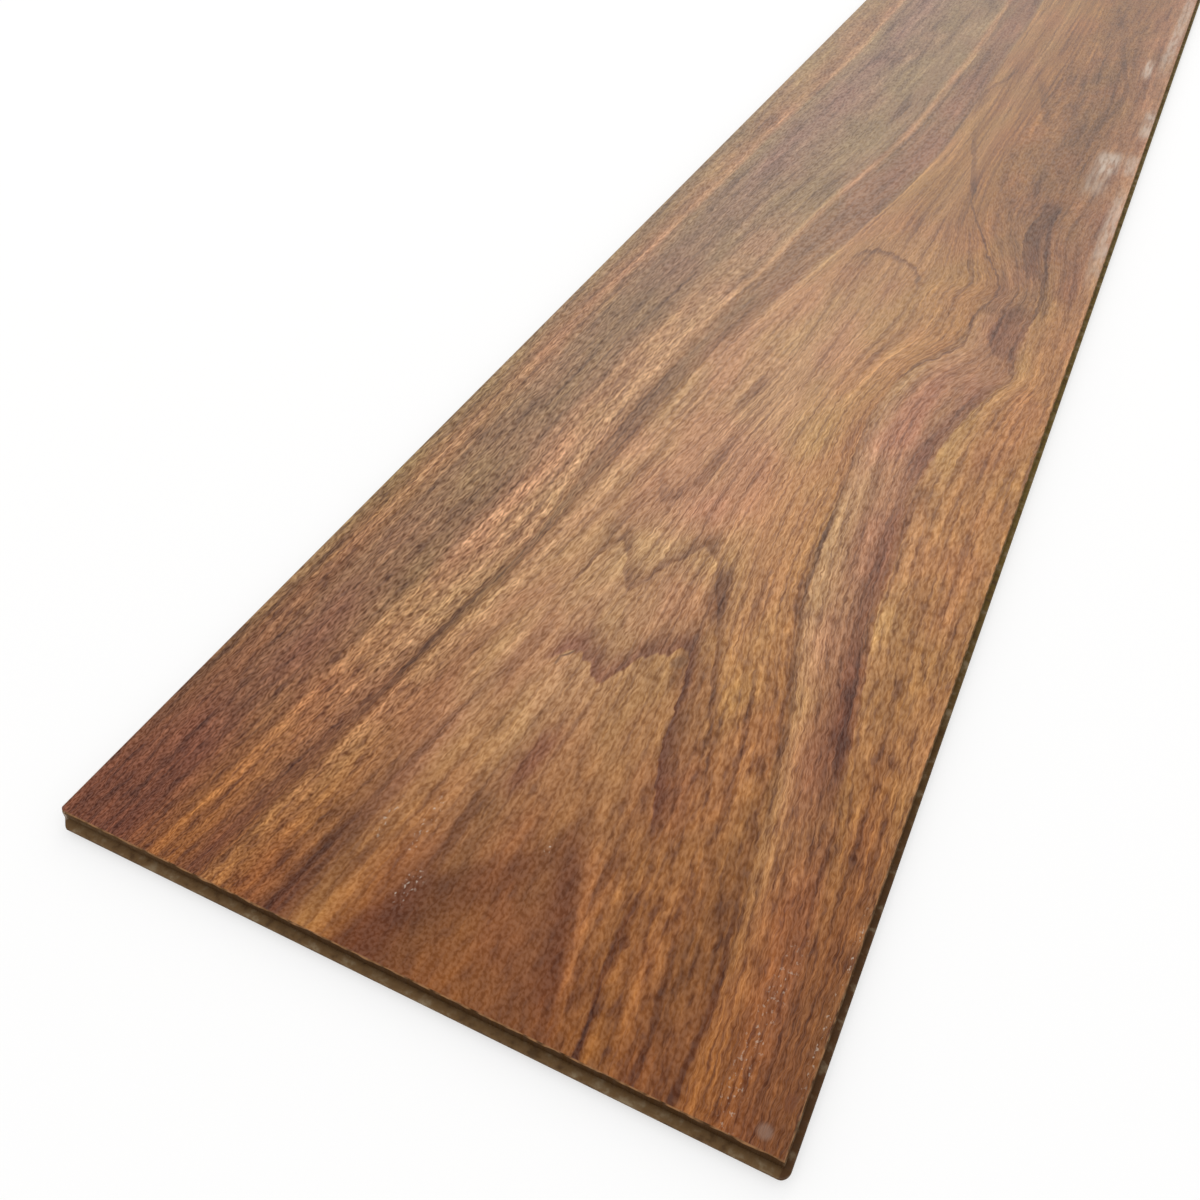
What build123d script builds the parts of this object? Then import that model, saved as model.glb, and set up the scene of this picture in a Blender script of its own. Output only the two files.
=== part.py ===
"""Rigid vinyl floor plank with a stone-plastic core, one pressed piece with milled locking edges.

Millimetres, +Z up. X runs across the plank, Y along it, the walked-on face looks up.
The right long side and the near end carry the tongue, the left long side and the far end the groove.
"""
import os

from build123d import *

# Size of the walked-on face and of the whole plank
face_length = 1220.0
face_width = 180.0
thickness = 5.0

# Eased edge around the walked-on face
top_bevel = 0.5

# Tongues, measured out from the joint face and up from the underside
long_tongue_reach = 1.5
end_tongue_reach = 2.0
tongue_top = 2.75
tongue_top_slope = 0.15
nose_radius = 0.45

# Lower lip under each groove, with the ridge that locks behind the tongue
lip_reach = 2.6
lip_height = 1.1
ridge_rise = 0.4
ridge_crest = 0.6
ridge_slope = 0.35
lip_end_radius = 0.3

# Play between two locked planks
play = 0.06

# Rounded corner where the two tongues meet
tongue_corner_radius = 2.5

# Corner knocked off between the long groove and the end tongue, measured along the face's near end
corner_cut = 1.4


def tongue_edge(reach):
    """Outline of a tongue edge from the top face down to the underside, as (out, up) pairs."""
    recess = lip_reach + play
    notch_top = lip_height + ridge_rise + play
    tongue_bottom = lip_height + play
    notch_mouth = lip_reach - ridge_crest - ridge_slope - play
    return [
        (-top_bevel, thickness),
        (0.0, thickness - top_bevel),
        (0.0, tongue_top),
        (reach, tongue_top - tongue_top_slope),
        (reach, tongue_bottom),
        (-notch_mouth, tongue_bottom),
        (-notch_mouth - ridge_slope, notch_top),
        (-recess, notch_top),
        (-recess, 0.0),
    ]


def groove_edge(reach):
    """Outline of a groove edge from the underside up to the top face, as (out, up) pairs."""
    slot_depth = reach + play
    ridge_top = lip_height + ridge_rise
    ridge_start = lip_reach - ridge_crest
    return [
        (lip_reach, 0.0),
        (lip_reach, ridge_top),
        (ridge_start, ridge_top),
        (ridge_start - ridge_slope, lip_height),
        (-slot_depth, lip_height),
        (-slot_depth, tongue_top - tongue_top_slope + play),
        (0.0, tongue_top + play),
        (0.0, thickness - top_bevel),
        (-top_bevel, thickness),
    ]


def plank_section(face_size, reach, tongue_side):
    """Section across the plank, its tongue towards +1 or -1 along the section's first axis."""
    half = face_size / 2
    tongue = [(tongue_side * (half + out), up) for out, up in tongue_edge(reach)]
    groove = [(-tongue_side * (half + out), up) for out, up in groove_edge(reach)]
    outline = make_face(Polyline(*tongue, *groove, close=True))
    nose = outline.vertices().sort_by(Axis.X, reverse=tongue_side > 0)[:2]
    outline = fillet(nose, nose_radius)
    lip_end = outline.vertices().sort_by(Axis.X, reverse=tongue_side < 0)[:2]
    return fillet(lip_end.sort_by(Axis.Y)[-1], lip_end_radius)


whole_length = face_length + end_tongue_reach + lip_reach
whole_width = face_width + long_tongue_reach + lip_reach

# Long sides milled along the whole length, ends milled across the whole width
long_section = plank_section(face_width, long_tongue_reach, 1)
end_section = plank_section(face_length, end_tongue_reach, -1)
long_bar = extrude(Plane.XZ * long_section, whole_length, both=True)
end_bar = extrude(Plane.YZ * end_section, whole_width, both=True)
plank = long_bar & end_bar

# Each lip stops short of the tongue beside it, clear of the next plank's lip
lip_trim = lip_reach + play
near_left = Pos(-face_width / 2, -face_length / 2 + lip_trim, 0)
plank -= near_left * Box(whole_width, whole_length, thickness, align=(Align.MAX, Align.MAX, Align.MIN))
far_right = Pos(face_width / 2 - lip_trim, face_length / 2, 0)
plank -= far_right * Box(whole_width, whole_length, thickness, align=(Align.MIN, Align.MIN, Align.MIN))

# The box around the plank is centred over the origin, its underside on the ground plane
across_shift = (lip_reach - long_tongue_reach) / 2
along_shift = (end_tongue_reach - lip_reach) / 2
plank = Pos(across_shift, along_shift, 0) * plank

# Outline from above, rounded between the two tongues and cut between the long groove and the end tongue
seen_from_above = Rectangle(whole_width, whole_length)
tongue_corner = seen_from_above.vertices().sort_by(Axis.X)[-2:].sort_by(Axis.Y)[0]
seen_from_above = fillet(tongue_corner, tongue_corner_radius)
groove_corner = seen_from_above.vertices().sort_by(Axis.X)[:2].sort_by(Axis.Y)[0]
seen_from_above = chamfer(groove_corner, lip_reach + end_tongue_reach + corner_cut)
plank = plank & extrude(seen_from_above, thickness)

os.makedirs("parts", exist_ok=True)
export_step(plank, "parts/plank.step")
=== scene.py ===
"""Looks of a rigid vinyl floor plank: a walnut print on the face, a bare core on the milled edges."""
import math
from collections import namedtuple

import bmesh
import bpy
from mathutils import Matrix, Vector


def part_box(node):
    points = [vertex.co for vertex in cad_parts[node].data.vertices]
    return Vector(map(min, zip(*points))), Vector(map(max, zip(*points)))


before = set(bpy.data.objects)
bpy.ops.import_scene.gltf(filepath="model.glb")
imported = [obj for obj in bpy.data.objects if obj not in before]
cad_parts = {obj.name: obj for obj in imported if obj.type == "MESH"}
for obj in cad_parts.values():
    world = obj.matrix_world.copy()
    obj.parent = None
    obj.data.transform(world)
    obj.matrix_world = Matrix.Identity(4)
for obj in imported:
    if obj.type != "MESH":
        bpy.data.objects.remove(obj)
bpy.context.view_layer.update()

MM = 0.001

# The printed face, inside the lips and tongues that stand out around it
LIP_REACH = 2.6
END_TONGUE_REACH = 2.0
FACE_WIDTH = 180.0
FACE_LENGTH = 1220.0
TONGUE_TOP = 2.75

box_low, box_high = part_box("plank")
FACE_LEFT = box_low.x / MM + LIP_REACH
FACE_NEAR = box_low.y / MM + END_TONGUE_REACH
FACE_UP = box_high.z / MM


def on_face(across, along, above=0.0):
    """A point given in millimetres from the face's near left corner, in metres."""
    return Vector((FACE_LEFT + across, FACE_NEAR + along, FACE_UP + above)) * MM


def tone(red, green, blue):
    """A colour given as 0 to 255 screen values, in the linear values that shaders use."""
    linear = []
    for level in (red, green, blue):
        share = level / 255
        linear.append(share / 12.92 if share <= 0.04045 else ((share + 0.055) / 1.055) ** 2.4)
    return (*linear, 1.0)


class Nodes:
    """Adds shader nodes to one tree. Each method takes numbers or sockets and returns a socket."""

    def __init__(self, material):
        material.use_nodes = True
        self.tree = material.node_tree
        self.shader = self.tree.nodes["Principled BSDF"]

    def add(self, kind):
        return self.tree.nodes.new("ShaderNode" + kind)

    def feed(self, socket, value):
        if isinstance(value, bpy.types.NodeSocket):
            self.tree.links.new(value, socket)
        else:
            socket.default_value = value

    def math(self, operation, first, second=0.0):
        node = self.add("Math")
        node.operation = operation
        self.feed(node.inputs[0], first)
        self.feed(node.inputs[1], second)
        return node.outputs[0]

    def plus(self, first, second):
        return self.math("ADD", first, second)

    def minus(self, first, second):
        return self.math("SUBTRACT", first, second)

    def times(self, first, second):
        return self.math("MULTIPLY", first, second)

    def fade(self, value, start, end, low=0.0, high=1.0):
        """Runs smoothly from low at start to high at end."""
        node = self.add("MapRange")
        node.interpolation_type = "SMOOTHSTEP"
        node.clamp = False
        for socket, given in zip(node.inputs, (value, start, end, low, high)):
            self.feed(socket, given)
        return node.outputs[0]

    def share(self, value, start, end):
        """How far value lies from start to end, held within 0 and 1."""
        node = self.add("MapRange")
        for socket, given in zip(node.inputs, (value, start, end, 0.0, 1.0)):
            self.feed(socket, given)
        return node.outputs[0]

    def vector(self, x, y, z=0.0):
        node = self.add("CombineXYZ")
        for socket, given in zip(node.inputs, (x, y, z)):
            self.feed(socket, given)
        return node.outputs[0]

    def noise(self, place, detail=2.0, roughness=0.5, dimensions="2D"):
        """Cloudy values around 0.5, one lump to each unit of place."""
        node = self.add("TexNoise")
        node.noise_dimensions = dimensions
        self.feed(node.inputs["Vector"], place)
        self.feed(node.inputs["Scale"], 1.0)
        self.feed(node.inputs["Detail"], detail)
        self.feed(node.inputs["Roughness"], roughness)
        return node.outputs[0]

    def set_line(self, line, points, value_span, result_span):
        """Puts a curve's line through given points, each a (value, result) pair."""
        for index, (given, result) in enumerate(points):
            place = (given / value_span, result / result_span)
            if index < 2:
                line.points[index].location = place
            else:
                line.points.new(*place)

    def curve(self, value, points, value_span, result_span):
        """A smooth curve through given points."""
        node = self.add("FloatCurve")
        self.set_line(node.mapping.curves[0], points, value_span, result_span)
        node.mapping.update()
        self.feed(node.inputs["Value"], self.times(value, 1 / value_span))
        return self.times(node.outputs[0], result_span)

    def three_curves(self, shares, lines, value_span, result_span):
        """Three smooth curves side by side, from and to shares of the two spans."""
        node = self.add("VectorCurve")
        for line, points in zip(node.mapping.curves, lines):
            self.set_line(line, points, value_span, result_span)
        node.mapping.update()
        self.feed(node.inputs["Vector"], shares)
        return node.outputs[0]

    def three_fades(self, values, starts, ends, lows, highs):
        """Three smooth fades side by side."""
        node = self.add("MapRange")
        node.data_type = "FLOAT_VECTOR"
        node.interpolation_type = "SMOOTHSTEP"
        node.clamp = False
        for socket, given in zip(node.inputs[6:11], (values, starts, ends, lows, highs)):
            self.feed(socket, given)
        return node.outputs[1]

    def three_math(self, operation, first, second):
        """Arithmetic on three values side by side."""
        node = self.add("VectorMath")
        node.operation = operation
        self.feed(node.inputs[0], first)
        self.feed(node.inputs[1], second)
        return node.outputs["Vector"]

    def measure(self, operation, first, second=(0, 0, 0)):
        """One number from vectors, such as a length or a dot product."""
        node = self.add("VectorMath")
        node.operation = operation
        self.feed(node.inputs[0], first)
        self.feed(node.inputs[1], second)
        return node.outputs["Value"]

    def ramp(self, value, stops):
        """Colours along value, each stop a (place from 0 to 1, colour) pair."""
        node = self.add("ValToRGB")
        colours = node.color_ramp.elements
        for index, (place, colour) in enumerate(stops):
            stop = colours[index] if index < 2 else colours.new(place)
            stop.position = place
            stop.color = colour
        self.feed(node.inputs[0], value)
        return node.outputs[0]

    def mix(self, under, over, amount, blend="MIX"):
        """Lays one colour over another by an amount from 0 to 1."""
        node = self.add("Mix")
        node.data_type = "RGBA"
        node.blend_type = blend
        self.feed(node.inputs[0], amount)
        self.feed(node.inputs[6], under)
        self.feed(node.inputs[7], over)
        return node.outputs[2]

    def stain(self, colour, stain, amount):
        """Multiplies a colour by a stain, by an amount from 0 to 1."""
        return self.mix(colour, stain, amount, "MULTIPLY")


# Tones of the walnut print
GOLD = tone(189, 137, 80)
TAN = tone(190, 141, 94)
PINK_TAN = tone(184, 133, 87)
PINK_BROWN = tone(171, 118, 79)
ORANGE_BROWN = tone(176, 119, 64)
BROWN = tone(152, 104, 60)
OLIVE_BROWN = tone(148, 114, 69)
GREY_BROWN = tone(148, 108, 70)
MAUVE_BROWN = tone(142, 96, 63)
DARK_BROWN = tone(118, 80, 50)
FAR_OLIVE = tone(147, 113, 75)
FAR_MAUVE = tone(143, 102, 78)
FAR_BROWN = tone(154, 100, 45)
FAR_DARK = tone(140, 92, 47)
FAR_GOLD = tone(170, 119, 65)
NEAR_GOLD = tone(164, 105, 50)
NEAR_ORANGE = tone(152, 89, 32)
NEAR_BROWN = tone(132, 75, 31)
NEAR_RED = tone(118, 64, 34)
SCUFF = tone(214, 196, 178)
WORN_GREY = tone(152, 118, 98)
SCRATCH = tone(196, 150, 104)

# Stains that deepen, lighten or tint the tone under them
DEEPER = (0.55, 0.45, 0.40, 1.0)
MAUVE = (0.60, 0.46, 0.52, 1.0)
MAROON = (0.58, 0.46, 0.42, 1.0)
AMBER = (0.90, 0.80, 0.60, 1.0)
LIGHTER = (1.35, 1.42, 1.50, 1.0)
ROSY = (1.06, 0.92, 1.05, 1.0)
GREENER = (0.95, 1.06, 0.90, 1.0)

# Tones of the bare edges
FILM_EDGE = tone(158, 114, 76)
# Painted shade on the upright joint face above the tongue
JOINT_FACE_SHADE = tone(64, 40, 16)
CORE = tone(108, 82, 53)
# Painted shade: the core on the right side is darker near the end and turns olive further along
CORE_SIDE_SHADE = tone(84, 57, 34)
CORE_OLIVE = tone(112, 92, 46)
CORE_GREY = tone(142, 124, 98)
CORE_DARK = tone(78, 56, 35)


def face_places(nodes):
    """Millimetres across the face from its left edge, along it from its near end, and up from the floor."""
    place = nodes.add("TexCoord").outputs["Object"]
    split = nodes.add("SeparateXYZ")
    nodes.feed(split.inputs[0], place)
    across = nodes.minus(nodes.times(split.outputs[0], 1 / MM), FACE_LEFT)
    along = nodes.minus(nodes.times(split.outputs[1], 1 / MM), FACE_NEAR)
    up = nodes.times(split.outputs[2], 1 / MM)
    return across, along, up


# Lines that the grain follows from the near end to the far end, as (along, across) pairs
PALE_STREAK = [(0, 7), (190, 8.8), (253, 10), (350, 13), (460, 16.2), (540, 20), (620, 20.5), (1220, 15)]
DARK_BAND_LEFT = [(0, 38), (42, 43), (98, 50), (130, 53), (220, 53.5), (287, 57), (320, 61), (353, 64.5),
                  (387, 68.5), (420, 73), (455, 77.5), (500, 80.5), (570, 81.5), (800, 80), (1220, 60)]
DARK_BAND_RIGHT = [(0, 42), (42, 47), (98, 53), (130, 57), (220, 62.5), (253, 64), (287, 69), (320, 76),
                   (353, 82), (387, 87), (420, 91), (470, 95), (570, 96), (800, 94), (1220, 74)]
HEART_LEFT = [(0, 62), (50, 68), (100, 73), (140, 78), (200, 83), (260, 89), (320, 89), (380, 94),
              (480, 102), (570, 104), (800, 104), (1220, 86)]
HEART_MIDDLE = [(0, 105), (100, 100), (200, 100), (300, 106), (380, 110), (482, 112), (570, 113),
                (800, 114), (1220, 98)]
WAVY_LINE = [(0, 159), (30, 156), (96, 146), (130, 137.5), (156, 132.8), (177, 131.3), (200, 130),
             (217, 127.5), (240, 126), (260, 128), (273, 131), (287, 138), (302, 143), (313, 143.5),
             (327, 143), (342, 147), (351, 144), (375, 136), (395, 129), (430, 125), (482, 124), (570, 128),
             (800, 130), (1220, 116)]
RIGHT_BAND = [(0, 172), (50, 169), (91, 163), (104, 160.5), (120, 158), (142, 154), (165, 152), (200, 149),
              (220, 150), (247, 153.5), (269, 159), (283, 164), (300, 163), (331, 162.5), (358, 160),
              (375, 156), (400, 152.5), (430, 155), (475, 157), (500, 158), (537, 160), (612, 156),
              (800, 160), (1220, 150)]

# Place across the log, in millimetres, of the grain along each of those lines
GUIDES = [(10, PALE_STREAK), (53, DARK_BAND_LEFT), (62, DARK_BAND_RIGHT), (80, HEART_LEFT),
          (103, HEART_MIDDLE), (138, WAVY_LINE), (160, RIGHT_BAND)]

# Tones across the log, as places in millimetres, at the near end, in the middle and far along the plank
NEAR_TONES = [(0, NEAR_RED), (180, NEAR_BROWN), (24, NEAR_RED), (33, NEAR_BROWN), (39, NEAR_ORANGE),
              (47, NEAR_ORANGE), (54, NEAR_RED), (60, NEAR_BROWN), (63, NEAR_GOLD), (70, NEAR_ORANGE),
              (77, NEAR_BROWN), (80, NEAR_RED), (84, NEAR_GOLD), (88, NEAR_ORANGE), (93, NEAR_BROWN),
              (103, NEAR_ORANGE), (112, NEAR_BROWN), (122, NEAR_ORANGE), (136, NEAR_BROWN),
              (140, NEAR_ORANGE), (150, NEAR_ORANGE), (160, NEAR_BROWN)]
MIDDLE_TONES = [(0, OLIVE_BROWN), (180, ORANGE_BROWN), (8, BROWN), (10, PINK_TAN), (12, BROWN),
                (16, GREY_BROWN), (34, GREY_BROWN), (41, PINK_TAN), (46, TAN), (51, TAN), (53.5, BROWN),
                (56, GREY_BROWN), (61, BROWN), (64, TAN), (71, PINK_TAN), (84, TAN), (92, TAN),
                (103, PINK_TAN), (122, GOLD), (136.5, ORANGE_BROWN), (138, BROWN), (140, TAN),
                (148, PINK_BROWN), (158, PINK_BROWN), (161, GOLD), (168, ORANGE_BROWN)]
FAR_TONES = [(0, OLIVE_BROWN), (180, PINK_BROWN), (8, BROWN), (10, PINK_TAN), (12, FAR_OLIVE),
             (20, FAR_MAUVE), (34, FAR_OLIVE), (49, FAR_OLIVE), (51, PINK_TAN), (53, GREY_BROWN),
             (56, MAUVE_BROWN), (61, MAUVE_BROWN), (62.5, GREY_BROWN), (65, FAR_GOLD), (74, FAR_GOLD),
             (90, FAR_BROWN), (103, FAR_GOLD), (118, FAR_BROWN), (132, FAR_BROWN), (140, FAR_BROWN),
             (150, FAR_DARK), (160, FAR_DARK)]

Stroke = namedtuple("Stroke", "points left right stain amount taper", defaults=[0.3])

# Single strokes of the figure: (along, across) points, softness in millimetres to each side, stain, amount,
# and the share of the length over which each end tapers off
STROKES = [
    # Broad washes
    Stroke([(8, 134), (60, 130), (110, 138), (145, 150)], 44.0, 42.0, AMBER, 0.6),
    Stroke([(40, 50), (100, 53), (145, 56)], 7.0, 6.0, DEEPER, 0.25),
    Stroke([(80, 158), (105, 158), (140, 155)], 12.0, 16.0, MAROON, 0.35),
    Stroke([(145, 88), (180, 90), (215, 92)], 18.0, 18.0, DEEPER, 0.25),
    Stroke([(15, 66), (50, 70), (85, 72)], 9.0, 9.0, LIGHTER, 0.25),
    Stroke([(76, 97), (90, 98), (104, 99)], 10.0, 10.0, LIGHTER, 0.35),
    Stroke([(8, 22), (35, 23), (75, 24)], 10.0, 10.0, LIGHTER, 0.25),
    Stroke([(280, 49), (325, 54), (365, 58)], 8.0, 8.0, DEEPER, 0.25),
    Stroke([(220, 23), (300, 25), (380, 27)], 10.0, 10.0, DEEPER, 0.22),
    Stroke([(490, 102), (550, 104), (640, 106)], 18.0, 18.0, DEEPER, 0.2),
    Stroke([(490, 168), (506, 169), (524, 170)], 8.0, 8.0, DEEPER, 0.3, 0.45),
    Stroke([(600, 162), (690, 162), (800, 162)], 22.0, 20.0, LIGHTER, 0.3),
    Stroke([(0, 10), (60, 12), (150, 16)], 14.0, 20.0, ROSY, 0.7),
    Stroke([(190, 135), (230, 138), (275, 142), (300, 148)], 12.0, 8.0, ROSY, 0.4),
    Stroke([(145, 95), (185, 95), (222, 95)], 34.0, 28.0, ROSY, 0.6),
    # Lines along the left third
    Stroke([(90, 7), (190, 7.6), (250, 8.4), (290, 10), (320, 12), (380, 15)], 0.6, 0.8, LIGHTER, 0.8),
    Stroke([(80, 12.5), (150, 13), (230, 14), (280, 15), (330, 17)], 0.6, 0.8, LIGHTER, 0.8),
    Stroke([(0, 28), (9, 29), (42, 32), (87, 34.5), (120, 37), (153, 40), (198, 46)],
           1.8, 2.2, LIGHTER, 0.7),
    Stroke([(60, 38.5), (75, 40), (120, 43), (153, 45.5), (190, 48)], 0.7, 1.2, DEEPER, 0.6),
    Stroke([(240, 50), (264, 52), (290, 55), (320, 58.5), (353, 60), (387, 64.5), (420, 70), (460, 75),
            (510, 78)], 1.8, 1.8, LIGHTER, 0.6),
    Stroke([(200, 64), (242, 66), (276, 71), (298, 73), (342, 81), (364, 85), (387, 88.5), (420, 93),
            (460, 97), (520, 99)], 1.5, 2.5, LIGHTER, 0.5),
    Stroke([(0, 44), (9, 46), (53, 50), (87, 54), (131, 60), (215, 65)], 1.5, 3.0, LIGHTER, 0.5),
    Stroke([(0, 60.5), (9, 61.5), (53, 67), (98, 73), (130, 76)], 1.2, 0.8, DEEPER, 0.5),
    Stroke([(0, 61), (15, 62.5), (35, 65)], 3.0, 1.0, DEEPER, 0.7),
    Stroke([(25, 4), (60, 4.6), (110, 5.5), (150, 6.5)], 0.6, 0.8, LIGHTER, 0.6),
    Stroke([(20, 2.6), (60, 3), (130, 4)], 0.6, 0.8, DEEPER, 0.6),
    Stroke([(60, 46.5), (80, 49), (95, 50.5), (115, 52)], 0.8, 0.8, DEEPER, 0.8),
    # Around the arch and the lower peaks
    Stroke([(0, 70), (20, 78), (45, 84), (80, 86)], 16.0, 4.0, LIGHTER, 0.25),
    Stroke([(0, 72), (9, 74), (42, 80), (64, 84), (102, 86.5), (115, 87)], 5.0, 2.0, LIGHTER, 0.55),
    Stroke([(46, 91), (62, 93), (76, 93)], 3.0, 4.0, MAUVE, 0.75),
    Stroke([(0, 130), (9, 128), (27, 124), (42, 119), (60, 114), (74, 112)], 2.2, 1.6, LIGHTER, 0.8),
    Stroke([(0, 135.5), (20, 133.5), (47, 131), (58, 129)], 0.8, 1.8, DEEPER, 0.8),
    Stroke([(44, 131.5), (55, 130), (66, 128), (76, 127), (87, 123.5), (97, 121.5), (107, 119.5),
            (122, 116)], 8.0, 7.0, MAUVE, 0.65),
    Stroke([(58, 132.5), (72, 133.5), (81, 131.5), (88, 128), (103, 124.5), (114, 121), (123, 118)],
           0.8, 0.8, DEEPER, 0.5),
    Stroke([(118, 115), (135, 113), (152, 110)], 4.0, 4.0, DEEPER, 0.8),
    Stroke([(92, 116), (108, 114), (124, 111)], 4.0, 4.0, DEEPER, 0.8),
    # Lines right of the peaks
    Stroke([(90, 146), (110, 141.5), (130, 137.5), (156, 132.8), (177, 131.3), (200, 130)],
           0.7, 1.2, DEEPER, 0.6),
    Stroke([(0, 157), (10, 157), (25, 157.5), (31, 156), (45, 153.7), (57, 151)], 1.5, 0.8, DEEPER, 1.0),
    Stroke([(40, 154.5), (57, 151), (69, 149), (85, 146), (106, 142.5), (125, 139)], 1.6, 0.8, DEEPER, 0.8),
    Stroke([(50, 143.5), (66, 141), (82, 138.7), (107, 133.7), (120, 131)], 1.6, 0.8, DEEPER, 0.7),
    Stroke([(0, 135.8), (6, 135.6), (10, 134.4), (29, 132), (46, 132)], 1.2, 0.6, MAROON, 1.0),
    Stroke([(20, 124), (32, 126), (45, 125)], 3.0, 3.0, LIGHTER, 0.6),
    Stroke([(0, 148), (14, 147), (30, 144), (52, 138)], 1.0, 1.4, DEEPER, 0.6),
    Stroke([(8, 142), (24, 140), (40, 137)], 1.4, 1.8, LIGHTER, 0.5),
    Stroke([(0, 153), (20, 152.5), (45, 149)], 2.5, 2.5, LIGHTER, 0.4),
    Stroke([(30, 150), (55, 146), (80, 141), (100, 137)], 1.6, 1.6, LIGHTER, 0.5),
    # The near right side
    Stroke([(20, 171), (55, 172), (84, 171), (112, 168)], 16.0, 9.0, AMBER, 0.9),
    Stroke([(84, 163), (95, 161), (107, 158.7), (125, 156)], 2.2, 1.0, MAROON, 0.9),
    Stroke([(50, 167), (68, 166), (88, 165)], 0.8, 0.8, DEEPER, 0.8),
    Stroke([(46, 172), (70, 171), (92, 170)], 1.0, 0.7, DEEPER, 0.7),
    Stroke([(52, 176.5), (72, 175.5), (90, 174.5)], 0.8, 0.8, DEEPER, 0.7),
    Stroke([(40, 169.5), (65, 169), (90, 167.5)], 0.8, 1.0, LIGHTER, 0.6),
    Stroke([(48, 174.3), (66, 173.6), (86, 172.5)], 0.8, 0.8, LIGHTER, 0.6),
    # The pale line, the maroon band and the rim along the right side
    Stroke([(0, 160), (20, 160), (53, 158), (82, 153), (102, 149), (124, 144.5), (165, 141.5)],
           2.2, 2.2, LIGHTER, 0.9),
    Stroke([(70, 166), (86, 163.5), (104, 161), (120, 158.5), (142, 154.5), (164, 152.3), (198, 151),
            (230, 151)], 9.0, 0.8, MAROON, 0.9),
    Stroke([(196, 148), (220, 149.5), (247, 153.5), (258, 156), (269, 159.5), (278, 163), (288, 165.5)],
           8.0, 0.8, MAUVE, 0.8),
    Stroke([(50, 179.3), (300, 179.3), (650, 179.3)], 2.2, 1.0, LIGHTER, 0.4),
    # The wavy line and the figure far along the right side
    Stroke([(281, 164.5), (288, 162.5), (298, 161.2), (317, 161.7), (333, 163), (353, 161.3), (372, 159.7),
            (388, 156.7), (408, 154.2), (425, 155.8)], 2.2, 0.7, DEEPER, 0.9, 0.05),
    Stroke([(288, 161), (294, 156), (298, 153), (307, 150.5), (317, 151.7), (325, 153.3), (336, 155)],
           1.0, 11.0, MAROON, 0.9, 0.2),
    Stroke([(352, 157), (358, 153.5), (370, 150), (383, 147.5), (395, 146.7), (408, 148.3), (430, 149)],
           1.0, 10.0, DEEPER, 0.9, 0.12),
    Stroke([(256, 126.5), (268, 129), (282, 136.7), (293, 143.5), (300, 144.7), (315, 142.8), (338, 146.7),
            (347, 145), (360, 139), (378, 132.5), (395, 125), (415, 118)], 0.8, 0.8, DEEPER, 0.9, 0.06),
    Stroke([(318, 144), (330, 146), (338, 147.5), (347, 146.5), (358, 141.5)], 0.8, 5.0, DEEPER, 0.6, 0.2),
    Stroke([(338, 169), (360, 169.5), (395, 170), (430, 170)], 7.0, 7.0, MAUVE, 0.4, 0.08),
    Stroke([(320, 169), (328, 169.5), (338, 170)], 4.5, 4.5, LIGHTER, 0.6),
    Stroke([(190, 130.5), (217, 127.5), (235, 125.8), (250, 126), (262, 128.5)],
           0.7, 0.8, DEEPER, 0.6, 0.15),
    Stroke([(417, 155), (445, 153), (480, 155), (525, 158), (541, 161), (565, 162.4), (581, 161),
            (599, 158), (625, 154), (660, 150)], 3.0, 1.0, DEEPER, 0.7, 0.15),
    # Soft shades and short lines in the middle
    Stroke([(166, 86.5), (188, 89.5), (215, 89)], 3.0, 3.0, DEEPER, 0.7, 0.45),
    Stroke([(216, 84), (234, 86), (256, 89)], 3.2, 3.2, DEEPER, 0.9, 0.45),
    Stroke([(210, 100), (226, 101), (243, 102)], 9.0, 9.0, LIGHTER, 0.35),
    Stroke([(145, 130), (168, 131), (188, 132)], 8.0, 9.0, LIGHTER, 0.25, 0.1),
    Stroke([(235, 168), (300, 170), (350, 172)], 14.0, 10.0, LIGHTER, 0.2),
    Stroke([(245, 124), (290, 126), (345, 126)], 11.0, 9.0, LIGHTER, 0.2),
    Stroke([(255, 91.5), (290, 90), (330, 88)], 0.7, 2.5, DEEPER, 0.5),
    Stroke([(255, 114.5), (282, 118), (300, 121.5), (330, 121)], 2.0, 0.7, DEEPER, 0.7),
    # Lines past the middle
    Stroke([(375, 121.5), (405, 118.5), (430, 117), (450, 117)], 2.0, 2.0, DEEPER, 0.5),
    Stroke([(405, 122), (435, 114.5), (457, 110), (470, 106.5), (500, 102)], 0.8, 3.0, DEEPER, 0.7),
    Stroke([(410, 95), (440, 98), (475, 100), (510, 101), (540, 104), (575, 110)], 2.0, 4.0, LIGHTER, 0.4),
    Stroke([(505, 98), (535, 97), (565, 104), (590, 108)], 1.0, 2.5, DEEPER, 0.6),
    Stroke([(500, 136), (511, 133), (531, 128), (559, 122), (580, 118)], 2.0, 4.0, DEEPER, 0.6),
    Stroke([(550, 134), (565, 133), (585, 130), (620, 128)], 1.0, 3.0, DEEPER, 0.5),
    Stroke([(410, 72), (455, 77.5), (500, 80.5), (570, 81.5), (680, 82)], 0.8, 1.5, DEEPER, 0.5),
    Stroke([(430, 91.5), (470, 95), (520, 96), (580, 95.5)], 1.2, 0.8, DEEPER, 0.5),
    Stroke([(430, 4), (520, 5), (700, 6)], 8.0, 10.0, LIGHTER, 0.35),
]

Ring = namedtuple("Ring", "points near beyond stain amount")

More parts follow.
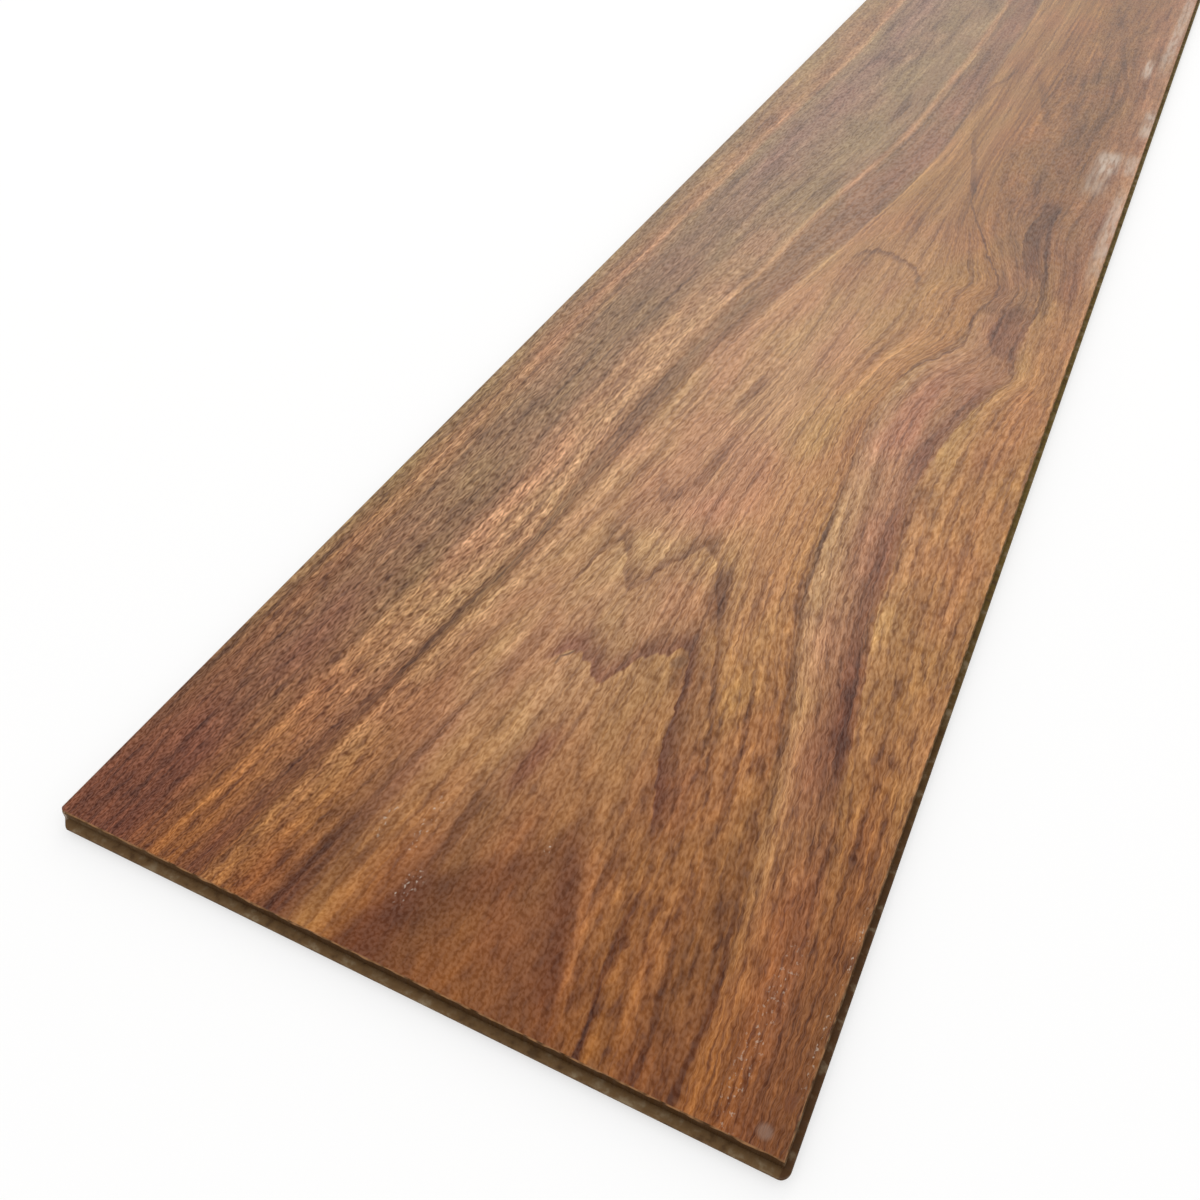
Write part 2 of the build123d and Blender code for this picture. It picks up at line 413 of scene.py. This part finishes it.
# Growth rings cut through as peaks and valleys: (across, along) points, softness before and beyond,
# stain and amount
UPPER_PEAKS = Ring([(70, 100), (75, 130), (78, 144), (80, 144), (89, 128), (95, 141), (103, 152),
                    (111, 138), (118, 120), (122, 107), (131, 82), (138, 56)], 1.8, 12.0, DEEPER, 0.9)
LOWER_PEAKS = Ring([(78, 90), (86, 99), (92, 96), (95.5, 92), (102, 104), (108, 109), (113, 112),
                    (116, 103), (120, 78), (126, 60), (132, 44)], 1.6, 15.0, MAUVE, 0.9)
FAR_PEAK = Ring([(86, 336), (91, 348), (104, 349), (112, 344), (116, 338), (119, 326), (122, 312)],
                5.0, 2.0, DEEPER, 0.9)
SMALL_VALLEY = Ring([(74, 186), (79, 172), (84, 168), (88, 176), (91, 190)], 2.0, 9.0, DEEPER, 0.65)
BETWEEN_PEAKS = LOWER_PEAKS._replace(beyond=40.0, amount=0.35)
RINGS = [UPPER_PEAKS, LOWER_PEAKS, BETWEEN_PEAKS, FAR_PEAK, SMALL_VALLEY]

# Dark arch at the near end, as (across, along) pairs of its outer side
NEAR_ARCH = [(72, -14), (78, 4), (85, 21), (92, 28), (98, 32), (106, 40), (112.5, 50), (116, 42), (122, 26),
             (126, 14), (132, -10)]

# Whitish wear: short flecks near the end, longer smears far along the right edge
NEAR_WEAR = [
    Stroke([(0, 166.5), (25, 167), (50, 168)], 3.5, 3.5, SCUFF, 0.4),
    Stroke([(6, 178.4), (30, 178.6), (66, 178.8)], 1.0, 0.8, SCUFF, 0.6),
    Stroke([(22, 80.5), (33, 80.5), (46, 80)], 2.2, 1.6, SCUFF, 0.8),
    Stroke([(24, 71), (32, 71), (40, 71)], 1.4, 1.4, SCUFF, 0.7),
    Stroke([(12, 84), (18, 84.5), (26, 86)], 2.5, 3.5, SCUFF, 0.6),
    Stroke([(37, 108.5), (41, 108.7), (45, 108.5)], 1.0, 1.0, SCUFF, 0.8),
]
FAR_WEAR = [
    Stroke([(350, 178), (380, 177.5), (425, 177.5), (465, 178)], 4.5, 4.0, SCUFF, 0.5),
    Stroke([(464, 177), (480, 177), (496, 177)], 4.5, 4.0, SCUFF, 0.5),
    Stroke([(508, 178), (530, 178), (556, 178)], 4.5, 4.0, SCUFF, 0.6),
    Stroke([(586, 174.5), (650, 175), (710, 176), (780, 176.5)], 3.5, 4.5, SCUFF, 0.5),
    Stroke([(462, 168), (478, 168), (496, 168)], 8.0, 6.0, SCUFF, 0.45),
    Stroke([(432, 165.5), (450, 165), (470, 165.5), (497, 167)], 7.0, 7.0, SCUFF, 0.35),
    Stroke([(590, 168), (608, 168), (628, 168)], 3.0, 3.0, SCUFF, 0.7),
]

Spot = namedtuple("Spot", "across along width length tilt tone amount")

# Single marks: middle, half width and half length in millimetres, tilt in degrees, tone and amount
SPOTS = [
    Spot(174.6, 3.8, 1.8, 1.8, 0, WORN_GREY, 0.65),
    Spot(177.2, 11.0, 1.5, 2.4, 0, NEAR_RED, 0.6),
    Spot(84.8, 97.2, 0.7, 2.6, 36, DARK_BROWN, 0.9),
    Spot(84.5, 97.4, 0.35, 2.0, 36, SCRATCH, 0.9),
    Spot(83.4, 94.0, 0.5, 2.4, 0, DARK_BROWN, 0.7),
    Spot(112.5, 107.0, 2.2, 3.0, 20, DARK_BROWN, 0.6),
    Spot(116.5, 334.5, 1.4, 4.0, 0, DARK_BROWN, 0.6),
]

# Width and length in millimetres of the lumps in each kind of mark
HUE_DRIFT = (16, 40)
BROAD_STRIPES = (3.4, 60)
FINE_LINES = (1.0, 40)
PATCHES = (1.7, 8.0)
FLECKS = (0.52, 1.0)
PORES = (0.5, 2.5)
WEAR_FLECKS = (0.8, 1.2)
WEAR_SMEARS = (1.8, 12)
CHIPS = (0.8, 0.9)
MOTTLE_WIDTH = 3.5
MOTTLE_HEIGHT = 1.4

# Depth in millimetres of the film's edge below the face, and of the pores pressed into the face
FILM_DEPTH = 0.3
PORE_DEPTH = 0.15

# Share of a stroke's softness over which it keeps its full amount
FULL_SHARE = 0.3

# Step between noise patterns that should not look alike
SEED_STEP = 7.3


def grain_place(nodes, across, along):
    """Millimetres across the log, which stay the same along each line of the grain."""
    lines = [(0, 0.0)]
    for nominal, points in GUIDES:
        lines.append((nominal, nodes.curve(along, points, FACE_LENGTH, FACE_WIDTH)))
    lines.append((FACE_WIDTH, FACE_WIDTH))
    place = 0.0
    for (low, low_line), (high, high_line) in zip(lines, lines[1:]):
        step = nodes.times(nodes.share(across, low_line, high_line), high - low)
        place = nodes.plus(place, step)
    return place


def cloud(nodes, across, along, width, length, detail=2.0, seed=0.0):
    """Values around 0.5 in lumps of a given width and length."""
    aside = nodes.plus(nodes.times(across, 1 / width), SEED_STEP * seed)
    ahead = nodes.times(along, 1 / length)
    return nodes.noise(nodes.vector(aside, ahead), detail)


def wobble(nodes, across, along, width, length, amount, detail=2.0):
    """A soft drift, up to about a third of amount each way."""
    return nodes.times(nodes.minus(cloud(nodes, across, along, width, length, detail), 0.5), amount)


def band_tones(nodes, grain, along):
    """The broad bands across the log, which change from the near end to the far end."""
    tones = []
    for stops in (NEAR_TONES, MIDDLE_TONES, FAR_TONES):
        places = [(at / FACE_WIDTH, colour) for at, colour in stops]
        tones.append(nodes.ramp(nodes.times(grain, 1 / FACE_WIDTH), places))
    near, middle, far = tones
    colour = nodes.mix(near, middle, nodes.fade(along, -5, 125))
    return nodes.mix(colour, far, nodes.fade(along, 230, 430))


def strokes_amount(nodes, across, along, strokes):
    """How strongly the strokes show in all. They are worked out three at a time."""
    place = nodes.times(across, 1 / FACE_WIDTH)
    places = nodes.vector(place, place, place)
    length = nodes.times(along, 1 / FACE_LENGTH)
    lengths = nodes.vector(length, length, length)
    total = (0.0, 0.0, 0.0)
    for first in range(0, len(strokes), 3):
        three = strokes[first:first + 3]
        while len(three) < 3:
            three = three + [three[0]._replace(amount=0.0)]
        lines = nodes.three_curves(lengths, [stroke.points for stroke in three], FACE_LENGTH, FACE_WIDTH)
        aside = nodes.three_math("SUBTRACT", places, lines)
        lefts = [-stroke.left / FACE_WIDTH for stroke in three]
        rights = [stroke.right / FACE_WIDTH for stroke in three]
        amounts = [stroke.amount for stroke in three]
        full_left = [FULL_SHARE * left for left in lefts]
        full_right = [FULL_SHARE * right for right in rights]
        shown = nodes.three_fades(aside, lefts, full_left, (0, 0, 0), amounts)
        fall = nodes.three_fades(aside, full_right, rights, (1, 1, 1), (0, 0, 0))
        shown = nodes.three_math("MULTIPLY", shown, fall)
        starts = [stroke.points[0][0] / FACE_LENGTH for stroke in three]
        ends = [stroke.points[-1][0] / FACE_LENGTH for stroke in three]
        tapers = [stroke.taper * (end - start) for stroke, start, end in zip(three, starts, ends)]
        # A stroke that starts at the near end has its full amount there
        starts = [start if start > 0 else -2 * taper for start, taper in zip(starts, tapers)]
        begun = [start + taper for start, taper in zip(starts, tapers)]
        ending = [end - taper for end, taper in zip(ends, tapers)]
        begins = nodes.three_fades(lengths, starts, begun, (0, 0, 0), (1, 1, 1))
        shown = nodes.three_math("MULTIPLY", shown, begins)
        stops = nodes.three_fades(lengths, ending, ends, (1, 1, 1), (0, 0, 0))
        shown = nodes.three_math("MULTIPLY", shown, stops)
        total = nodes.three_math("ADD", total, shown)
    return nodes.measure("DOT_PRODUCT", total, (1, 1, 1))


def ring_amount(nodes, across, along, ring):
    """How strongly a peak or valley line shows, fading out at its two ends."""
    past = nodes.minus(along, nodes.curve(across, ring.points, FACE_WIDTH, FACE_LENGTH))
    width = nodes.times(nodes.fade(past, -ring.near, 0.0), nodes.fade(past, 0.0, ring.beyond, 1.0, 0.0))
    first = ring.points[0][0]
    last = ring.points[-1][0]
    begun = nodes.fade(across, first, first + 5, 0.0, ring.amount)
    ended = nodes.fade(across, last - 8, last, 1.0, 0.0)
    return nodes.times(width, nodes.times(begun, ended))


def spot_amount(nodes, place, spot):
    """How strongly an oval mark shows, with a soft rim."""
    node = nodes.add("Mapping")
    node.vector_type = "TEXTURE"
    nodes.feed(node.inputs["Vector"], place)
    nodes.feed(node.inputs["Location"], (spot.across, spot.along, 0))
    nodes.feed(node.inputs["Rotation"], (0, 0, -math.radians(spot.tilt)))
    nodes.feed(node.inputs["Scale"], (spot.width, spot.length, 1))
    return nodes.fade(nodes.measure("LENGTH", node.outputs[0]), 0.45, 1.2, spot.amount, 0.0)


def worn(nodes, colour, across, along):
    """Lays the whitish wear and the single marks over the print."""
    flecked = nodes.fade(cloud(nodes, across, along, *WEAR_FLECKS, 3.0, 9.0), 0.6, 0.74)
    colour = nodes.mix(colour, SCUFF, nodes.times(flecked, strokes_amount(nodes, across, along, NEAR_WEAR)))
    smeared = nodes.fade(cloud(nodes, across, along, *WEAR_SMEARS, 3.0, 9.0), 0.3, 0.65, 0.3, 1.0)
    colour = nodes.mix(colour, SCUFF, nodes.times(smeared, strokes_amount(nodes, across, along, FAR_WEAR)))
    place = nodes.vector(across, along)
    for spot in SPOTS:
        colour = nodes.mix(colour, spot.tone, spot_amount(nodes, place, spot))
    return colour


def streaks(nodes, colour, value, joint_shade, pale, amount):
    """Deepens the colour where value is high and lightens it where value is low.

    dark and pale each give the value at which that starts, the value at which it is full, and its strength.
    """
    for stain, (start, full, strength) in ((DEEPER, joint_shade), (LIGHTER, pale)):
        shown = nodes.times(amount, nodes.fade(value, start, full, 0.0, strength))
        colour = nodes.stain(colour, stain, shown)
    return colour


def figure(nodes, colour, moved, jagged):
    """Lays the single strokes and the growth rings over the bands."""
    for stain in (ROSY, LIGHTER, DEEPER, MAUVE, MAROON, AMBER):
        strokes = [stroke for stroke in STROKES if stroke.stain == stain]
        amount = strokes_amount(nodes, moved, jagged, strokes)
        colour = nodes.stain(colour, stain, amount)
        # Where strokes add up past 1, the rest stains once more
        colour = nodes.stain(colour, stain, nodes.minus(amount, 1.0))
    for ring in RINGS:
        colour = nodes.stain(colour, ring.stain, ring_amount(nodes, moved, jagged, ring))
    return colour


def near_arch(nodes, colour, moved, depth):
    """Darkens the arch at the near end, less so deep inside it."""
    inside = nodes.times(nodes.fade(depth, 8, 22), nodes.fade(moved, 84, 96, 0.2, 0.65))
    reached = nodes.fade(depth, -4, 5)
    strength = nodes.minus(nodes.fade(moved, 96, 116, 0.85, 0.75), inside)
    return nodes.stain(colour, MAROON, nodes.times(reached, strength))


def grain_marks(nodes, colour, grain, across, along, depth):
    """Lays stripes, lines, patches and flecks over the figure; the pale flecks are partly grain and partly
    painted highlights on the pressed pores. Gives the flecks as well.
    """
    broad = cloud(nodes, grain, along, *BROAD_STRIPES, 3.0)
    banded = nodes.minus(1.0, nodes.times(nodes.fade(depth, -12, 2), 0.7))
    bolder = nodes.times(banded, nodes.fade(along, 260, 420, 1.0, 1.4))
    colour = streaks(nodes, colour, broad, (0.5, 0.8, 0.7), (0.5, 0.2, 0.7), bolder)

    fine = cloud(nodes, grain, along, *FINE_LINES, 3.0, 7.0)
    lined = nodes.times(nodes.fade(along, 60, 180, 0.8, 1.2), nodes.fade(along, 220, 330, 1.0, 0.6))
    lined = nodes.times(banded, lined)
    colour = streaks(nodes, colour, fine, (0.53, 0.66, 0.6), (0.48, 0.3, 0.45), lined)

    calm = nodes.times(nodes.fade(across, 52, 70), nodes.fade(across, 135, 115, 0.0, 0.5))
    lively = nodes.times(nodes.minus(1.0, calm), nodes.fade(along, 70, 230, 1.0, 0.5))
    patches = cloud(nodes, grain, along, *PATCHES, 3.0, 5.0)
    colour = streaks(nodes, colour, patches, (0.5, 0.75, 1.0), (0.5, 0.25, 1.0), lively)

    # Flecks are long in the middle of the plank and get shorter towards the near end
    near_end = nodes.math("EXPONENT", nodes.times(along, -1 / 50))
    near_end = nodes.times(near_end, nodes.fade(across, 90, 165, 42, 22))
    stretched = nodes.minus(nodes.times(along, 0.3), near_end)
    flecks = cloud(nodes, grain, stretched, *FLECKS, 1.4, 3.0)
    distinct = nodes.times(nodes.fade(across, 48, 66, 1.0, 0.54), nodes.fade(along, 100, 420, 1.0, 0.45))
    distinct = nodes.times(distinct, nodes.fade(along, 0, 70, 0.85, 1.0))
    # The pale flecks are partly grain and partly painted highlights on the pressed pores
    colour = streaks(nodes, colour, flecks, (0.48, 0.72, 1.0), (0.52, 0.28, 1.0), distinct)
    return colour, flecks


def walnut_print(nodes, across, along):
    """Colour of the printed face, and how glossy its wear layer is."""
    drift = wobble(nodes, across, along, 30, 120, 3.0, 1.0)
    jitter = wobble(nodes, across, along, 2.0, 4.0, 1.3)
    moved = nodes.plus(across, nodes.plus(drift, jitter))
    grain = grain_place(nodes, moved, along)
    colour = band_tones(nodes, grain, along)
    hue = cloud(nodes, across, along, *HUE_DRIFT, 1.0)
    colour = nodes.stain(colour, ROSY, nodes.fade(hue, 0.5, 0.7, 0.0, 0.4))
    colour = nodes.stain(colour, GREENER, nodes.fade(hue, 0.5, 0.3, 0.0, 0.4))

    jagged = nodes.plus(along, wobble(nodes, across, along, 2.5, 12, 5.0, 1.0))
    colour = figure(nodes, colour, moved, jagged)
    depth = nodes.minus(nodes.curve(moved, NEAR_ARCH, FACE_WIDTH, FACE_LENGTH), jagged)
    colour = near_arch(nodes, colour, moved, depth)
    colour, flecks = grain_marks(nodes, colour, grain, across, along, depth)
    colour = worn(nodes, colour, across, along)
    return colour, nodes.share(flecks, 0.7, 0.3)


def bare_core(nodes, across, along, up):
    """Colour of the milled edges: painted shade on the joint face above the tongue and on the right side
    near the end, chips at the near left, over a mottled core.
    """
    aside = nodes.times(across, 1 / MOTTLE_WIDTH)
    ahead = nodes.times(along, 1 / MOTTLE_WIDTH)
    mottle = nodes.noise(nodes.vector(aside, ahead, nodes.times(up, 1 / MOTTLE_HEIGHT)), 3.0, 0.6, "3D")
    # Painted shade: the right side of the core is darker near the end and turns olive further along
    shaded_side_core = nodes.mix(CORE_SIDE_SHADE, CORE_OLIVE, nodes.fade(along, 40, 240))
    on_side = nodes.fade(across, FACE_WIDTH - 0.6, FACE_WIDTH - 0.1)
    core = nodes.mix(CORE, shaded_side_core, on_side)
    core = nodes.mix(core, CORE_GREY, nodes.fade(mottle, 0.5, 0.75, 0.0, 0.8))
    core = nodes.mix(core, CORE_DARK, nodes.fade(mottle, 0.5, 0.3, 0.0, 0.8))
    # Painted shade on the joint face above the tongue, with less of it on the right side
    above_tongue = nodes.fade(up, TONGUE_TOP - 0.1, TONGUE_TOP + 0.1)
    joint_shade = nodes.times(above_tongue, nodes.fade(across, 5, 60, 0.55, 0.9))
    core = nodes.mix(core, JOINT_FACE_SHADE, nodes.times(joint_shade, nodes.fade(on_side, 0.0, 1.0, 1.0, 0.4)))
    specks = nodes.fade(cloud(nodes, across, up, *CHIPS), 0.48, 0.6)
    chips = nodes.times(specks, nodes.fade(across, 3.0, 1.2, 0.0, 0.8))
    return nodes.mix(core, SCUFF, nodes.times(chips, nodes.fade(up, TONGUE_TOP - 0.3, TONGUE_TOP + 0.2)))


def plank_material():
    """The print on the face, the film's edge just below it and the bare core on the milled edges."""
    material = bpy.data.materials.new("walnut_print_and_core")
    nodes = Nodes(material)
    across, along, up = face_places(nodes)
    face, gloss = walnut_print(nodes, across, along)
    core = bare_core(nodes, across, along, up)
    film_foot = nodes.plus(FACE_UP - FILM_DEPTH, wobble(nodes, across, along, 5, 5, 0.5))
    film = nodes.fade(nodes.minus(up, film_foot), -0.05, 0.05)
    film = nodes.times(film, nodes.share(cloud(nodes, across, along, 3, 3), 0.3, 0.6))
    colour = nodes.mix(core, FILM_EDGE, film)
    on_top = nodes.fade(up, FACE_UP - 0.12, FACE_UP - 0.02)
    colour = nodes.mix(colour, face, on_top)
    nodes.feed(nodes.shader.inputs["Base Color"], colour)
    nodes.feed(nodes.shader.inputs["Roughness"], nodes.fade(on_top, 0.0, 1.0, 0.75, 0.42))
    sheen = nodes.times(nodes.fade(gloss, 0.0, 1.0, 0.25, 0.7), nodes.fade(on_top, 0.0, 1.0, 0.25, 1.0))
    nodes.feed(nodes.shader.inputs["Specular IOR Level"], sheen)
    bump = nodes.add("Bump")
    nodes.feed(bump.inputs["Height"], cloud(nodes, across, along, *PORES))
    nodes.feed(bump.inputs["Strength"], nodes.times(on_top, 0.25))
    nodes.feed(bump.inputs["Distance"], PORE_DEPTH * MM)
    nodes.feed(nodes.shader.inputs["Normal"], bump.outputs[0])
    return material


# The studio: how bright its even light is, and how much dimmer its ceiling is in the gloss
EVEN_LIGHT = 0.85
CEILING_LIGHT = 0.2
CEILING_STARTS = 0.45
CEILING_FULL = 0.95

# A window lamp past the far end, with its place in millimetres from the face's near left corner
WINDOW_PLACE = (-700, 2600, 1700)
WINDOW_AIM = (90, 250)
WINDOW_SIZE = 1.6
WINDOW_WATTS = 12.0
WINDOW_COLOUR = (1.0, 0.92, 0.82)

# A floor that looks white to the camera and keeps the shadow
FLOOR_REACH = 6.0
FLOOR_WHITE = (1, 1, 1, 1)
FLOOR_GREY = (0.45, 0.45, 0.45, 1)
FLOOR_GLOW = 0.58

# The photo's camera, as solved from the plank's edges
CAMERA_PLACE = (183.51, -85.39, 222.43)
CAMERA_AIM = (83.5, 119.1)
CAMERA_LENS = 34.258
CAMERA_SENSOR = 36.0


def stand(holder, place, aim):
    """Adds a lamp or camera to the scene at a place, facing a point."""
    holder.location = place
    holder.rotation_euler = (aim - place).to_track_quat("-Z", "Y").to_euler()
    bpy.context.scene.collection.objects.link(holder)


def window():
    data = bpy.data.lights.new("window", "AREA")
    data.size = WINDOW_SIZE
    data.energy = WINDOW_WATTS
    data.color = WINDOW_COLOUR
    stand(bpy.data.objects.new("window", data), on_face(*WINDOW_PLACE), on_face(*WINDOW_AIM))


def surround():
    """A white studio: even light, with a dimmer ceiling in the gloss so that only a low view turns hazy."""
    world = bpy.data.worlds.new("surround")
    bpy.context.scene.world = world
    world.use_nodes = True
    tree = world.node_tree
    background = tree.nodes["Background"]
    background.inputs["Color"].default_value = (1, 1, 1, 1)
    direction = tree.nodes.new("ShaderNodeTexCoord")
    split = tree.nodes.new("ShaderNodeSeparateXYZ")
    ceiling = tree.nodes.new("ShaderNodeMapRange")
    ceiling.interpolation_type = "SMOOTHSTEP"
    ceiling_range = (CEILING_STARTS, CEILING_FULL, EVEN_LIGHT, CEILING_LIGHT)
    for socket, given in zip(ceiling.inputs[1:5], ceiling_range):
        socket.default_value = given
    path = tree.nodes.new("ShaderNodeLightPath")
    gloss = tree.nodes.new("ShaderNodeMix")
    gloss.inputs[2].default_value = EVEN_LIGHT
    seen = tree.nodes.new("ShaderNodeMix")
    seen.inputs[3].default_value = 1.0
    join = tree.links.new
    join(direction.outputs["Generated"], split.inputs[0])
    join(split.outputs[2], ceiling.inputs[0])
    join(path.outputs["Is Glossy Ray"], gloss.inputs[0])
    join(ceiling.outputs[0], gloss.inputs[3])
    join(path.outputs["Is Camera Ray"], seen.inputs[0])
    join(gloss.outputs[0], seen.inputs[2])
    join(seen.outputs[0], background.inputs["Strength"])


def white_floor():
    square = bmesh.new()
    bmesh.ops.create_grid(square, x_segments=1, y_segments=1, size=FLOOR_REACH)
    mesh = bpy.data.meshes.new("floor")
    square.to_mesh(mesh)
    square.free()
    floor = bpy.data.objects.new("floor", mesh)
    bpy.context.scene.collection.objects.link(floor)
    material = bpy.data.materials.new("white_floor")
    nodes = Nodes(material)
    seen = nodes.add("LightPath").outputs["Is Camera Ray"]
    nodes.feed(nodes.shader.inputs["Base Color"], nodes.mix(FLOOR_WHITE, FLOOR_GREY, seen))
    nodes.feed(nodes.shader.inputs["Roughness"], 1.0)
    nodes.feed(nodes.shader.inputs["Emission Color"], FLOOR_WHITE)
    nodes.feed(nodes.shader.inputs["Emission Strength"], nodes.times(seen, FLOOR_GLOW))
    mesh.materials.append(material)


def camera():
    lens = bpy.data.cameras.new("photo_camera")
    lens.sensor_width = CAMERA_SENSOR
    lens.lens = CAMERA_LENS
    lens.clip_start = 0.01
    holder = bpy.data.objects.new("photo_camera", lens)
    stand(holder, on_face(*CAMERA_PLACE), on_face(*CAMERA_AIM))
    bpy.context.scene.camera = holder


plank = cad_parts["plank"]
plank.material_slots[0].material = plank_material()
bpy.context.scene.view_settings.view_transform = "Standard"
surround()
white_floor()
window()
camera()
